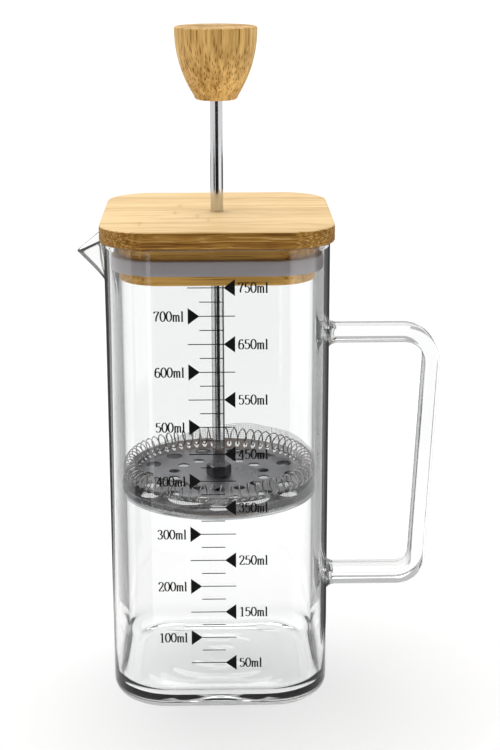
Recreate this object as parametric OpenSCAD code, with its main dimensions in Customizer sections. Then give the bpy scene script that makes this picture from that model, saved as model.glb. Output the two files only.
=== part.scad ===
// Square glass french press with a glass handle, a bamboo lid and knob, and a steel filter plunger.
// Frame: the middle of the jar's underside is the origin, +Z is up, +X points to the handle,
// -X to the spout, and -Y is the face that carries the printed scale. All sizes are millimetres.

/* [Jar] */
// Outside width of the square jar
jar_w = 78; // [60:1:110]
// Height of the glass rim above the table
jar_h = 169.2; // [120:0.1:240]
// Outside radius of the jar's upright corners
jar_corner = 20; // [12:0.5:30]
// Glass wall thickness
wall = 1.8; // [1.5:0.1:4]
// Glass thickness in the base
base_t = 4.5; // [3:0.1:8]
// Rounding round the foot of the jar
foot_r = 6; // [3:0.5:9]
// Rounding between the inside floor and the walls
floor_r = 6; // [3:0.5:8]

/* [Spout] */
// How far the spout's tip stands out from the wall
spout_reach = 11.3; // [6:0.1:18]
// How far the tip lies below the rim
spout_drop = 7.3; // [0:0.1:12]
// Slope of the spout's underside, degrees from level
spout_slope = 45; // [35:1:52]
// Half of the spout's opening angle, degrees
spout_half = 37; // [20:1:38]
// Glass thickness in the spout
spout_wall = 1.7; // [1.5:0.1:3]

/* [Handle] */
// Thickness of the glass strap
strap_t = 5.4; // [4:0.1:8]
// Depth of the strap, front to back
strap_d = 12; // [6:0.1:14]
// Rounding along the strap's edges
strap_r = 1; // [0.8:0.1:2.6]
// Height of the strap's upper arm
grip_top = 131; // [90:0.1:150]
// Height of the strap's lower arm
grip_low = 37.6; // [20:0.1:60]
// Reach of the grip from the jar's wall, at its upper end
grip_reach = 39.1; // [28:0.1:60]
// How much further in the grip stands at its lower end
grip_lean = 4.5; // [0:0.1:10]
// Radius of the upper bend, on the strap's middle line
bend_top_r = 10.3; // [4:0.1:14]
// Radius of the lower bend
bend_low_r = 8; // [4:0.1:14]
// How far each welded foot spreads past the strap
weld_r = 4; // [2:0.1:5]

/* [Lid] */
// How far the square bamboo lid reaches past the glass on each side
lid_over = 1.3; // [0:0.1:4]
// Corner radius of the lid
lid_corner = 16.5; // [10:0.5:26]
// Thickness of the lid's top board
lid_t = 6.1; // [4:0.1:12]
// Rounding round the lid's edges
lid_edge = 0.8; // [0.4:0.1:1.8]
// Gap left between the lid board and the glass rim
lid_gap = 0.3; // [0.2:0.1:1]
// Depth of the plug below the top board
plug_h = 13.6; // [10:0.1:24]
// Gap between the plug's wood and the glass
plug_gap = 3.3; // [1.5:0.1:4]
// Wood left above the seal's groove
groove_top = 4.6; // [3:0.1:8]
// Height of the seal and of its groove
seal_h = 5.2; // [3:0.1:9]
// Depth of the groove in the plug
groove_d = 2; // [1:0.1:4]
// Gap between the seal and the glass
seal_gap = 0.3; // [0.25:0.05:0.6]

/* [Rod and knob] */
// Diameter of the plunger rod
rod_d = 4.5; // [3.5:0.1:8]
// Clearance round the rod where it runs through the lid
rod_clear = 0.1; // [0.05:0.01:0.1]
// Gap between the lid and the knob's underside with the plunger half way down
stroke_left = 39.3; // [20:0.1:120]
// Height of the knob
knob_h = 25; // [18:0.1:40]
// Diameter of the knob's top
knob_d = 28.8; // [22:0.1:40]
// Diameter of the knob's foot
knob_foot_d = 13.6; // [11:0.1:18]
// Rounding of the knob's top edge
knob_edge = 0.8; // [0.4:0.1:1.5]
// Diameter of the threaded insert in the knob
insert_d = 7; // [6:0.1:8.5]
// Length of the insert
insert_h = 13; // [8:0.5:16]

/* [Filter] */
// Height of the strainer plate above the table
filter_z = 77.2; // [60:0.1:100]
// Gap between the filter's edge and the glass
filter_gap = 0.4; // [0.3:0.05:1]
// Thickness of the strainer plate
plate_t = 0.5; // [0.4:0.1:1]
// How far the strainer plate's flat middle stays in from the mesh
dish_inset = 6.1; // [4.5:0.1:10]
// How far the strainer plate's sloping rim reaches out
rim_run = 3.8; // [2:0.1:5]
// How far the sloping rim rises
rim_rise = 2.9; // [1.5:0.1:5]
// Number of coils in the edge spring
coils = 64; // [40:2:80]
// Radius of each coil
coil_r = 3; // [2:0.1:4]
// Wire diameter of the edge spring
wire_d = 0.5; // [0.3:0.05:0.8]
// Height of the mesh's rim above the strainer plate
mesh_rise = 9.3; // [6:0.1:14]
// Thickness of the woven mesh
mesh_t = 0.3; // [0.2:0.05:0.4]
// Thickness of the base plate
base_plate_t = 0.8; // [0.6:0.1:1.5]
// Thickness of the base plate's rolled edge
edge_roll_d = 2; // [1:0.1:3]
// Length of the spacer between the strainer plate and the mesh
spacer_h = 1.9; // [1:0.1:6]
// Diameter of the strainer plate's outer holes
outer_hole_d = 6.2; // [3:0.1:8]
// Diameter of the strainer plate's inner holes
inner_hole_d = 4.2; // [2:0.1:6]
// Number of holes in each ring of the strainer plate
ring_holes = 14; // [8:1:20]
// Width across the flats of the nuts
nut_af = 8; // [7:0.1:10]
// Height of the clamp nut
nut_h = 4; // [3:0.1:6]

/* [Hidden] */
$fn = 48;

glass = [0.86, 0.9, 0.91, 0.4];
bamboo = [0.86, 0.68, 0.4];
steel = [0.72, 0.73, 0.75];
far = 400; // longer than anything it cuts

half = jar_w / 2;
lid_half = half + lid_over;
in_half = half - wall;
in_corner = jar_corner - wall;
lid_low = jar_h + lid_gap;
lid_top = lid_low + lid_t;
plug_low = lid_low - plug_h;
plug_half = in_half - plug_gap;
plug_corner = in_corner - plug_gap;
seal_top = lid_low - groove_top;
seal_low = seal_top - seal_h;
seal_half = in_half - seal_gap;
seal_corner = in_corner - seal_gap;
rod_r = rod_d / 2;
knob_low = lid_top + stroke_left;
insert_clear = 0.6; // wood left open above the end of the insert
insert_wall = 1.2;  // closed end of the insert, above the rod
filter_r = in_half - filter_gap;
dish_r = filter_r - dish_inset;
mesh_low = filter_z - plate_t - spacer_h - mesh_t;
base_low = mesh_low - base_plate_t;
wire_r = wire_d / 2;
mesh_gap = 0.1; // air between the mesh's rim and the coils
coil_ring_r = filter_r - mesh_t - mesh_gap - coil_r - wire_r;
coil_lift = 1.3; // the strainer plate's edge lies inside every coil, this far under its middle
coil_z = filter_z + rim_rise + coil_lift;
rod_low = base_low - nut_h;

// A square with round corners, "h" from its middle to each side.
module round_square(h, r) {
  square([2 * h, 2 * (h - r)], center = true);
  square([2 * (h - r), 2 * h], center = true);
  for (x = [-1, 1], y = [-1, 1])
    translate([x * (h - r), y * (h - r)]) circle(r = r);
}

// One rounded edge of a slab: bars along its sides and quarter rings at its corners.
module slab_edge(h, r, e) {
  for (a = [0, 90, 180, 270]) rotate([0, 0, a]) {
    translate([h - e, 0, 0]) rotate([90, 0, 0])
      cylinder(r = e, h = 2 * (h - r), center = true);
    translate([h - r, h - r, 0]) rotate_extrude() translate([r - e, 0]) intersection() {
      circle(r = e);
      translate([0, -e]) square([e, 2 * e]);
    }
  }
}

// A slab from z0 to z1 with its lower and upper edges rounded by e0 and e1.
module slab(h, r, z0, z1, e0, e1) {
  translate([0, 0, z0 + e0]) linear_extrude(z1 - z0 - e0 - e1) round_square(h, r);
  if (e0 > 0) {
    translate([0, 0, z0]) linear_extrude(2 * e0) round_square(h - e0, r - e0);
    translate([0, 0, z0 + e0]) slab_edge(h, r, e0);
  }
  if (e1 > 0) {
    translate([0, 0, z1 - 2 * e1]) linear_extrude(2 * e1) round_square(h - e1, r - e1);
    translate([0, 0, z1 - e1]) slab_edge(h, r, e1);
  }
}

// The cone that shapes the spout, its point "up" along its own axis from the wall.
tip_x = -half - spout_reach;
tip_z = jar_h - spout_drop;
spout_tilt = 90 - spout_slope - spout_half;
cone_h = 34;
cone_back = spout_reach + wall / 2; // from the tip back to the cone's point, on level
module spout_cone(up) {
  translate([tip_x + cone_back, 0, tip_z - cone_back * tan(spout_slope)])
    rotate([0, -spout_tilt, 0]) translate([0, 0, up])
    cylinder(r1 = 0, r2 = cone_h * tan(spout_half), h = cone_h);
}

module glass_jar() {
  color(glass) difference() {
    union() {
      slab(half, jar_corner, 0, jar_h, foot_r, 0);
      difference() {
        spout_cone(0);
        // the spout's rim falls from the jar's rim to the tip
        translate([-half, 0, jar_h]) rotate([0, -atan(spout_drop / spout_reach), 0])
          translate([-far / 2, 0, far / 2]) cube(far, center = true);
        translate([-half + wall + far / 2, 0, jar_h]) cube(far, center = true);
        translate([0, 0, jar_h + far / 2]) cube(far, center = true);
      }
    }
    slab(in_half, in_corner, base_t, jar_h + foot_r, floor_r, 0);
    intersection() {
      spout_cone(spout_wall / sin(spout_half));
      translate([-far / 2 - in_half + wall, 0, jar_h]) cube(far, center = true);
    }
  }
}

// Joins rings of points into one closed solid. "loop" joins the last ring to the first.
module sweep(rings, loop) {
  count = len(rings);
  sides = len(rings[0]);
  last = loop ? count - 1 : count - 2;
  walls = [for (i = [0:last], j = [0:sides - 1])
    let (a = i * sides + j, b = i * sides + (j + 1) % sides,
      c = ((i + 1) % count) * sides + (j + 1) % sides, d = ((i + 1) % count) * sides + j)
    each [[a, b, c], [a, c, d]]];
  ends = loop ? [] : [[for (j = [0:sides - 1]) sides - 1 - j],
    [for (j = [0:sides - 1]) (count - 1) * sides + j]];
  polyhedron(points = [for (ring = rings) each ring], faces = concat(walls, ends), convexity = 6);
}

// Corners of the strap's middle line, [x, z], from the upper weld round to the lower one.
grip_x = half + grip_reach;
grip_path = [[half, grip_top], [grip_x, grip_top], [grip_x - grip_lean, grip_low], [half, grip_low]];

function unit(a) = [cos(a), sin(a)];
// Direction of each run of the strap, degrees above +X, always turning clockwise.
function run_dir(i) =
  let (d = grip_path[i + 1] - grip_path[i], a = atan2(d[1], d[0])) a > 90 ? a - 360 : a;

// Outline across the strap, [thickness, depth], grown by "e" where a weld spreads it.
function strap_outline(e) =
  let (r = strap_r + e / 2, t = strap_t / 2 + e - r, d = strap_d / 2 + weld_side * e - r)
  [for (k = [0:3], a = [0:22.5:90])
    [(k == 0 || k == 3 ? t : -t) + r * cos(a + 90 * k), (k < 2 ? d : -d) + r * sin(a + 90 * k)]];
weld_side = 0.6; // a weld spreads less front to back than up and down

// One ring of the strap at [x, z], for a strap that runs in direction "a".
function strap_ring(p, a, e) =
  [for (q = strap_outline(e)) [p[0] - q[0] * sin(a), q[1], p[1] + q[0] * cos(a)]];

// Rings of a weld, a fraction "f" of its length out from the wall.
function weld_ring(f, z, a) =
  strap_ring([half + weld_r * f, z], a, weld_r * (1 - sqrt(1 - (1 - f) * (1 - f))));
weld_steps = [0, 0.08, 0.25, 0.5, 1];

// Rings round the bend of radius r at corner i.
function bend_rings(i, r) =
  let (a = run_dir(i - 1), t = a - run_dir(i),
    c = grip_path[i] - r * tan(t / 2) * unit(a) + r * unit(a - 90), n = 12)
  [for (k = [0:n]) strap_ring(c + r * unit(a + 90 - t * k / n), a - t * k / n, 0)];

module glass_handle() {
  color(glass) sweep(concat(
    [for (f = weld_steps) weld_ring(f, grip_top, 0)],
    bend_rings(1, bend_top_r), bend_rings(2, bend_low_r),
    [for (k = [4:-1:0]) weld_ring(weld_steps[k], grip_low, -180)]), false);
}

module lid_board() {
  color(bamboo) difference() {
    slab(lid_half, lid_corner, lid_low, lid_top, lid_edge, lid_edge);
    translate([0, 0, lid_low - 1]) cylinder(r = rod_r + rod_clear, h = lid_t + 2);
  }
}

module lid_plug() {
  color(bamboo) difference() {
    slab(plug_half, plug_corner, plug_low, lid_low, lid_edge, 0);
    translate([0, 0, seal_low]) linear_extrude(seal_h) difference() {
      round_square(in_half, in_corner);
      round_square(plug_half - groove_d, plug_corner - groove_d);
    }
    translate([0, 0, plug_low - 1]) cylinder(r = rod_r + rod_clear, h = plug_h + 2);
  }
}

// The seal is a plain band with its outer edges stepped back.
seal_step = 0.4;
module lid_seal() {
  color([0.78, 0.78, 0.82]) translate([0, 0, seal_low]) difference() {
    union() {
      linear_extrude(seal_h) round_square(seal_half - seal_step, seal_corner - seal_step);
      translate([0, 0, seal_step]) linear_extrude(seal_h - 2 * seal_step)
        round_square(seal_half, seal_corner);
    }
    translate([0, 0, -1]) linear_extrude(seal_h + 2)
      round_square(plug_half - groove_d, plug_corner - groove_d);
  }
}

module plunger_rod() {
  color(steel) translate([0, 0, rod_low])
    cylinder(r = rod_r, h = knob_low + insert_h - insert_wall - rod_low);
}

// The knob's side is one long arc from the edge of its top in to its foot.
knob_r = knob_d / 2;
side_top = knob_h - knob_edge;
side_drop = (knob_d - knob_foot_d) / 2;
side_r = (side_top * side_top + side_drop * side_drop) / (2 * side_drop);
foot_round = 1.2; // rounding under the knob
foot_x = knob_r - side_r + sqrt(side_r * side_r - (side_top - foot_round) * (side_top - foot_round));
module knob() {
  color(bamboo) difference() {
    translate([0, 0, knob_low]) rotate_extrude() {
      intersection() {
        translate([knob_r - side_r, side_top]) circle(r = side_r, $fn = 200);
        translate([0, foot_round]) square([knob_r, side_top - foot_round]);
      }
      square([foot_x - foot_round, knob_h]);
      translate([foot_x - foot_round, foot_round]) circle(r = foot_round);
      translate([0, side_top]) square([knob_r - knob_edge, knob_edge]);
      translate([knob_r - knob_edge, side_top]) circle(r = knob_edge);
    }
    translate([0, 0, knob_low - 1]) cylinder(r = insert_d / 2, h = insert_h + insert_clear + 1);
  }
}

module knob_insert() {
  color([0.8, 0.66, 0.36]) translate([0, 0, knob_low]) difference() {
    cylinder(r = insert_d / 2, h = insert_h);
    translate([0, 0, -1]) cylinder(r = rod_r, h = insert_h - insert_wall + 1);
  }
}

// A six-sided nut with turned corners, standing on z = 0.
module hex_blank(h) {
  corner_r = nut_af / 2 / cos(30);
  turned = 0.5;
  intersection() {
    cylinder(r = corner_r, h = h, $fn = 6);
    rotate_extrude() polygon([[0, 0], [nut_af / 2, 0], [corner_r, turned],
      [corner_r, h - turned], [nut_af / 2, h], [0, h]]);
  }
}

module clamp_nut() {
  color(steel) translate([0, 0, filter_z]) difference() {
    hex_blank(nut_h);
    translate([0, 0, -1]) cylinder(r = rod_r, h = nut_h + 2);
  }
}

outer_ring_r = dish_r - 3.6;
inner_ring_r = 0.55 * dish_r;
// Each coil crosses the strainer plate's sloping rim once. "foot" runs from the coil's middle to the
// inner end of the slope, and the crossing is thread_s up the slope from there.
slope = [rim_run, rim_rise] / norm([rim_run, rim_rise]);
foot = [dish_r - coil_ring_r, filter_z - plate_t / 2 - coil_z];
thread_s = -foot * slope - sqrt(pow(foot * slope, 2) - foot * foot + coil_r * coil_r);
thread_at = foot + thread_s * slope;
thread_a = 360 + atan2(thread_at[1], thread_at[0]);
thread_hole_d = 1.8;
module strainer_plate() {
  color(steel) translate([0, 0, filter_z - plate_t]) difference() {
    rotate_extrude() {
      square([dish_r, plate_t]);
      polygon([[dish_r, 0], [dish_r + rim_run, rim_rise],
        [dish_r + rim_run, rim_rise + plate_t], [dish_r, plate_t]]);
    }
    translate([0, 0, -1]) cylinder(r = rod_r, h = 3);
    for (i = [0:ring_holes - 1]) {
      rotate([0, 0, i * 360 / ring_holes]) translate([outer_ring_r, 0, -1])
        cylinder(d = outer_hole_d, h = 3, $fn = 32);
      rotate([0, 0, (i + 0.5) * 360 / ring_holes]) translate([inner_ring_r, 0, -1])
        cylinder(d = inner_hole_d, h = 3, $fn = 32);
    }
    for (i = [0:coils - 1])
      rotate([0, 0, (i + thread_a / 360) * 360 / coils])
        translate([coil_ring_r + thread_at[0], 0, coil_z + thread_at[1] - filter_z + plate_t])
        rotate([0, 90, 0]) cylinder(d = thread_hole_d, h = rim_run, center = true, $fn = 16);
  }
}

// A ring of the spring's wire, "a" degrees round the coil that it belongs to.
function wire_ring(a) =
  let (turn = a / coils, out = coil_ring_r + coil_r * cos(a), up = coil_z + coil_r * sin(a))
  [for (b = [0:72:288])
    let (r = out + wire_r * cos(b) * cos(a), side = wire_r * sin(b))
    [r * cos(turn) - side * sin(turn), r * sin(turn) + side * cos(turn),
      up + wire_r * cos(b) * sin(a)]];

module edge_spring() {
  step = 36; // ten straight lengths of wire to a coil
  color([0.8, 0.8, 0.82]) sweep([for (i = [0:360 / step * coils - 1]) wire_ring(i * step)], true);
}

module filter_spacer() {
  color(steel) translate([0, 0, mesh_low + mesh_t]) difference() {
    cylinder(r = nut_af / 2 + 0.5, h = spacer_h);
    translate([0, 0, -1]) cylinder(r = rod_r, h = spacer_h + 2);
  }
}

module mesh_screen() {
  color([0.62, 0.63, 0.65]) translate([0, 0, mesh_low]) difference() {
    cylinder(r = filter_r, h = filter_z + mesh_rise - mesh_low);
    translate([0, 0, mesh_t]) cylinder(r = filter_r - mesh_t, h = far);
    translate([0, 0, -1]) cylinder(r = rod_r, h = 3);
  }
}

// The base plate has six large openings, and six small ones between them near its edge.
large_ring_r = 0.56 * filter_r;
large_r = 0.22 * filter_r;
small_ring_r = 0.78 * filter_r;
small_r = 0.1 * filter_r;
module base_plate() {
  color(steel) translate([0, 0, base_low]) difference() {
    union() {
      cylinder(r = filter_r - edge_roll_d / 2, h = base_plate_t);
      translate([0, 0, base_plate_t - edge_roll_d / 2]) rotate_extrude()
        translate([filter_r - edge_roll_d / 2, 0]) circle(d = edge_roll_d);
    }
    translate([0, 0, -1]) cylinder(r = rod_r, h = 3);
    for (i = [0:5]) {
      rotate([0, 0, 60 * i]) translate([large_ring_r, 0, -1]) cylinder(r = large_r, h = 3);
      rotate([0, 0, 60 * i + 30]) translate([small_ring_r, 0, -1]) cylinder(r = small_r, h = 3);
    }
  }
}

module cap_nut() {
  dome_r = nut_af / 2 - 0.4;
  color(steel) translate([0, 0, base_low]) difference() {
    union() {
      translate([0, 0, -nut_h]) hex_blank(nut_h);
      translate([0, 0, -nut_h]) sphere(r = dome_r);
    }
    translate([0, 0, -nut_h]) cylinder(r = rod_r, h = nut_h + dome_r);
  }
}

glass_jar();
glass_handle();
lid_board();
lid_plug();
lid_seal();
plunger_rod();
knob();
knob_insert();
clamp_nut();
strainer_plate();
edge_spring();
filter_spacer();
mesh_screen();
base_plate();
cap_nut();
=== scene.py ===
import math

import bpy
import numpy as np
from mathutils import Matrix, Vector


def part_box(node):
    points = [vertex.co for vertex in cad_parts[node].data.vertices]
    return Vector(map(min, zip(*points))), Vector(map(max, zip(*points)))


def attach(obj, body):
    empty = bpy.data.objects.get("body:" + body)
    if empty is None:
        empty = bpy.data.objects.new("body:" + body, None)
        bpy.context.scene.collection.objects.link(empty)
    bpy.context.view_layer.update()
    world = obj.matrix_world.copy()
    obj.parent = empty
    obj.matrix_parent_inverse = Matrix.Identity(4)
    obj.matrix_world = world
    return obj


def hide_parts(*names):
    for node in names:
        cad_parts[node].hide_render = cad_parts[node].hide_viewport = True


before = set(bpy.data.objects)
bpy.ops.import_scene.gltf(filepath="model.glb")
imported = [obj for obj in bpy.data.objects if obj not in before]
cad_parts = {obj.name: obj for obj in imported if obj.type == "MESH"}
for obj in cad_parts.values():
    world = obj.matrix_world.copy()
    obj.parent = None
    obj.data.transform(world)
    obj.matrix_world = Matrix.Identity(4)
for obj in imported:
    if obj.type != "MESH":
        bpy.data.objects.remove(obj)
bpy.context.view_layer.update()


# ---------------------------------------------------------------- Glass jar
# The jar is one piece of clear borosilicate glass, square with round corners. It has a thick pressed
# base, a fire-polished rim, and a pouring spout pulled out of its wall at -X while the glass was soft.

MM = 0.001


def mesh_piece(name, grid, around=True, along=False, poles=(False, False), sharp=40):
    """A mesh from rows of points. `around` joins each row's ends, and `along` joins the last row to the
    first. A pole closes the first or last row with a single point at that row's middle. The faces are
    turned over where the volume inside them comes out negative, so they point outward."""
    rows, cols = grid.shape[:2]
    points = grid.reshape(-1, 3)
    r = np.arange(rows if along else rows - 1)[:, None]
    c = np.arange(cols if around else cols - 1)[None, :]
    r2, c2 = (r + 1) % rows, (c + 1) % cols
    quads = np.stack([r * cols + c, r * cols + c2, r2 * cols + c2, r2 * cols + c], -1).reshape(-1, 4)
    faces, extra = [quads], []
    for end, row in ((0, 0), (1, rows - 1)):
        if poles[end]:
            tip = len(points) + len(extra)
            extra.append(grid[row].mean(0))
            k = row * cols + np.arange(cols)
            fan = np.stack([np.roll(k, -1), k, np.full(cols, tip)], -1)
            faces.append(fan if end == 0 else fan[:, ::-1])
    points = np.vstack([points] + [e[None] for e in extra])
    tris = np.vstack([quads[:, [0, 1, 2]], quads[:, [0, 2, 3]]] + faces[1:])
    a, b, d = points[tris[:, 0]], points[tris[:, 1]], points[tris[:, 2]]
    if np.einsum("ij,ij->i", a, np.cross(b, d)).sum() < 0:
        faces = [f[:, ::-1] for f in faces]
    return piece_from(name, points, [f for block in faces for f in block.tolist()], sharp)


def piece_from(name, points, faces, sharp=40):
    """A named object from points in millimetres and lists of point numbers, smooth up to an edge angle."""
    mesh = bpy.data.meshes.new(name)
    mesh.from_pydata((np.asarray(points) * MM).tolist(), [], faces)
    mesh.shade_smooth()
    mesh.set_sharp_from_angle(angle=math.radians(sharp))
    made = bpy.data.objects.new(name, mesh)
    bpy.context.scene.collection.objects.link(made)
    return made


def square_steps(straight, bend):
    """Steps round a square with round corners, as (signs, normals). A point of a ring is
    (half - corner) * signs + corner * normals, so one set of steps serves rings of every size."""
    t = np.linspace(-1, 1, straight + 1)[1:]
    p = np.radians(np.linspace(0, 90, bend + 1)[1:])
    sx, sy = np.concatenate([t * 0 + 1, p * 0 + 1]), np.concatenate([t, p * 0 + 1])
    nx, ny = np.concatenate([t * 0 + 1, np.cos(p)]), np.concatenate([t * 0, np.sin(p)])
    signs, normals = [], []
    for c, s in ((1, 0), (0, 1), (-1, 0), (0, -1)):
        signs.append(np.stack([c * sx - s * sy, s * sx + c * sy], -1))
        normals.append(np.stack([c * nx - s * ny, s * nx + c * ny], -1))
    return np.concatenate(signs), np.concatenate(normals)


def square_rings(steps, half, corner, z):
    """Rings of a square with round corners, one for each entry of half, corner and z."""
    signs, normals = steps
    half, corner, z = (np.asarray(v, float)[:, None] for v in (half, corner, z))
    xy = (half - corner)[..., None] * signs[None] + corner[..., None] * normals[None]
    return np.concatenate([xy, np.broadcast_to(z, xy.shape[:2])[..., None]], -1)


def arc(a0, a1, n):
    """Cosines and sines of n + 1 even steps from a0 to a1 degrees."""
    a = np.radians(np.linspace(a0, a1, n + 1))
    return np.cos(a), np.sin(a)


def corners(node):
    """A CAD node's lowest and highest corners, in millimetres."""
    low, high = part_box(node)
    return np.array(low) / MM, np.array(high) / MM


JAR_HALF, JAR_H = corners("glass_jar")[1][1:]
JAR_CORNER, JAR_WALL = 20.0, 1.8
FOOT_R, RECESS_HALF = 6.0, 31.5
FLOOR_Z, FLOOR_R = 4.5, 6.0
RIPPLE_DEEP, RIPPLE_PITCH = 0.14, 8.5
SPOUT_REACH, SPOUT_DROP = 11.3, 7.3
SPOUT_TIP_Z = JAR_H - SPOUT_DROP
LIP_START, LIP_NOSE, LIP_NARROW, LIP_SOFT = 146.0, 1.8, 0.806, 1.4
PULL_START, PULL_NOSE, PULL_NARROW, PULL_SOFT = 140.0, 3.0, 1.327, 2.6


def rises(q, soft):
    """Half of q plus the root of q squared plus soft squared: zero where q is well below zero, q where it
    is well above, and a smooth turn between them."""
    return 0.5 * (q + np.sqrt(q * q + soft * soft))


def pull_spout(grid, normals):
    """Moves the wall out along -X, where it faces that way. The pull is a cone's, 45 degrees underneath
    with a rounded nose, and the rim sinks with it in step, so the lip slopes down to the tip."""
    x, y, z = (grid[..., i] for i in range(3))
    facing = np.clip(-normals[None, :, 0], 0, 1) ** 2
    lip = SPOUT_REACH + LIP_NOSE - np.sqrt((LIP_NARROW * y) ** 2 + LIP_NOSE ** 2)
    lip = rises(lip, LIP_SOFT) * facing
    share = np.clip((z - LIP_START) / (JAR_H - LIP_START), 0, 1) ** 1.3
    sunk = z - share * lip * SPOUT_DROP / SPOUT_REACH
    under = SPOUT_REACH - (SPOUT_TIP_Z - sunk)
    nose = under + PULL_NOSE - np.sqrt((PULL_NARROW * y) ** 2 + PULL_NOSE ** 2)
    pull = rises(nose, PULL_SOFT) * facing * np.clip((z - PULL_START) / 8, 0, 1) * 0.985
    return np.stack([x - pull, y, sunk], -1)


# The rings run out under the foot, up the outside, over the rim, down the inside and in along the floor,
# where the mould leaves soft ripples. Inside, they get rounder in plan towards the middle of the floor.
jar_steps = square_steps(34, 18)
foot_c, foot_s = arc(-90, 0, 12)
rim_c, rim_s = arc(0, 180, 12)
floor_c, floor_s = arc(0, -90, 12)
lip_half = JAR_WALL / 2
wall_z = np.concatenate([np.linspace(8, 138, 14), np.linspace(142, JAR_H - lip_half - 0.6, 24)])
down_z = wall_z[:0:-1]
inner = JAR_HALF - JAR_WALL
recess = np.array([[4, 0.8], [12, 0.8], [20, 0.78], [27, 0.6], [30, 0.35], [RECESS_HALF, 0.12]])
dish = np.linspace(30, 3, 40)
ripple = RIPPLE_DEEP * np.cos(2 * np.pi * dish / RIPPLE_PITCH) * np.clip((31 - dish) / 3, 0, 1)
half = np.concatenate([recess[:, 0], JAR_HALF - FOOT_R + FOOT_R * foot_c, wall_z * 0 + JAR_HALF,
    JAR_HALF - lip_half + lip_half * rim_c, down_z * 0 + inner, inner - FLOOR_R + FLOOR_R * floor_c, dish])
height = np.concatenate([recess[:, 1], FOOT_R + FOOT_R * foot_s, wall_z,
    JAR_H - lip_half + lip_half * rim_s, down_z, FLOOR_Z + FLOOR_R + FLOOR_R * floor_s,
    FLOOR_Z + 0.05 + 0.01 * (dish[0] - dish) + ripple])
rings_out = len(recess) + len(foot_c) + len(wall_z) + len(rim_c)
deep_in = half[rings_out:]
recess_corner = half * (RECESS_HALF - JAR_HALF + JAR_CORNER) / RECESS_HALF
corner = np.where(half < RECESS_HALF, recess_corner, half - JAR_HALF + JAR_CORNER)
corner[rings_out:] = np.minimum(JAR_CORNER - JAR_WALL - 0.25 * (inner - deep_in),
    deep_in * (1 - 0.014 * deep_in))
jar_rings = square_rings(jar_steps, half, corner, height)
jar = mesh_piece("blown_glass_jar", pull_spout(jar_rings, jar_steps[1]), poles=(True, True), sharp=80)


def new_finish(name):
    """An empty node material, as the material, its tree, its main shader, and a function that adds a node
    with its inputs set or linked."""
    made = bpy.data.materials.new(name)
    made.use_nodes = True
    tree = made.node_tree
    shader = tree.nodes["Principled BSDF"]

    def add(kind, inputs=(), **settings):
        node = tree.nodes.new("ShaderNode" + kind)
        for key, value in settings.items():
            setattr(node, key, value)
        for key, value in dict(inputs).items():
            if isinstance(value, bpy.types.NodeSocket):
                tree.links.new(value, node.inputs[key])
            else:
                node.inputs[key].default_value = value
        return node

    return made, tree, shader, add


def ramp(add, fac, stops):
    """A colour ramp through (place, colour) stops, fed by fac."""
    node = add("ValToRGB", {0: fac})
    band = node.color_ramp
    while len(band.elements) < len(stops):
        band.elements.new(0.5)
    for element, (place, colour) in zip(band.elements, stops):
        element.position = place
        element.color = (*colour, 1) if len(colour) == 3 else colour
    return node.outputs[0]


def clear_glass(name, tint, wave):
    """Clear glass with the faint tint and slow surface waves of hand-worked borosilicate."""
    made, tree, shader, add = new_finish(name)
    where = add("TexCoord").outputs["Object"]
    cloud = add("TexNoise", {"Vector": where, "Scale": 22.0, "Detail": 1.0}).outputs[0]
    shade = ramp(add, cloud, [(0.35, tuple(0.992 * t for t in tint)), (0.65, tint)])
    tree.links.new(shade, shader.inputs["Base Color"])
    shader.inputs["Transmission Weight"].default_value = 1.0
    shader.inputs["Roughness"].default_value = 0.0
    shader.inputs["IOR"].default_value = 1.473
    bump = add("Bump", {"Height": cloud, "Strength": wave, "Distance": 0.0004}).outputs[0]
    tree.links.new(bump, shader.inputs["Normal"])
    return made


jar.data.materials.append(clear_glass("clear_borosilicate", (0.975, 0.982, 0.98), 0.05))
jar.visible_shadow = jar.visible_diffuse = False
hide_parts("glass_jar")
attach(jar, "jar")


# ---------------------------------------------------------------- Glass handle
# The handle is a pressed strap of the same glass, bent hot into an open loop. Its two ends are welded to
# the jar's wall, and each weld flows out over the wall in a small flare.

STRAP_T, STRAP_D, STRAP_R = 5.4, 12.0, 1.0
GRIP_TOP, GRIP_LOW, GRIP_X, GRIP_LEAN = 131.0, 37.6, 78.08, 4.5
TOP_BEND, LOW_BEND = 10.3, 8.0
WELD, SUNK_IN = 4.0, 0.7


def bent_path(knees, radii, steps):
    """A line through the knees with each inner one rounded, as points and unit directions in one plane. A
    bend starts before its knee by the radius times the tangent of half the turn."""
    knees = np.asarray(knees, float)
    d = np.diff(knees, axis=0)
    d /= np.linalg.norm(d, axis=1)[:, None]
    points, ways = [knees[:1]], [d[:1]]
    for i in range(1, len(knees) - 1):
        a = math.atan2(d[i - 1][1], d[i - 1][0])
        turn = math.atan2(d[i][1], d[i][0]) - a
        turn = (turn + math.pi) % (2 * math.pi) - math.pi
        side, radius = math.copysign(1, turn), radii[i - 1]
        start = knees[i] - radius * math.tan(abs(turn) / 2) * d[i - 1]
        middle = start + side * radius * np.array([-d[i - 1][1], d[i - 1][0]])
        b = a + turn * np.linspace(0, 1, steps + 1)
        ring = np.stack([np.sin(b), -np.cos(b)], -1) * side * radius
        points.append(middle + ring)
        ways.append(np.stack([np.cos(b), np.sin(b)], -1))
    points.append(knees[-1:])
    ways.append(d[-1:])
    return np.concatenate(points), np.concatenate(ways)


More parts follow.
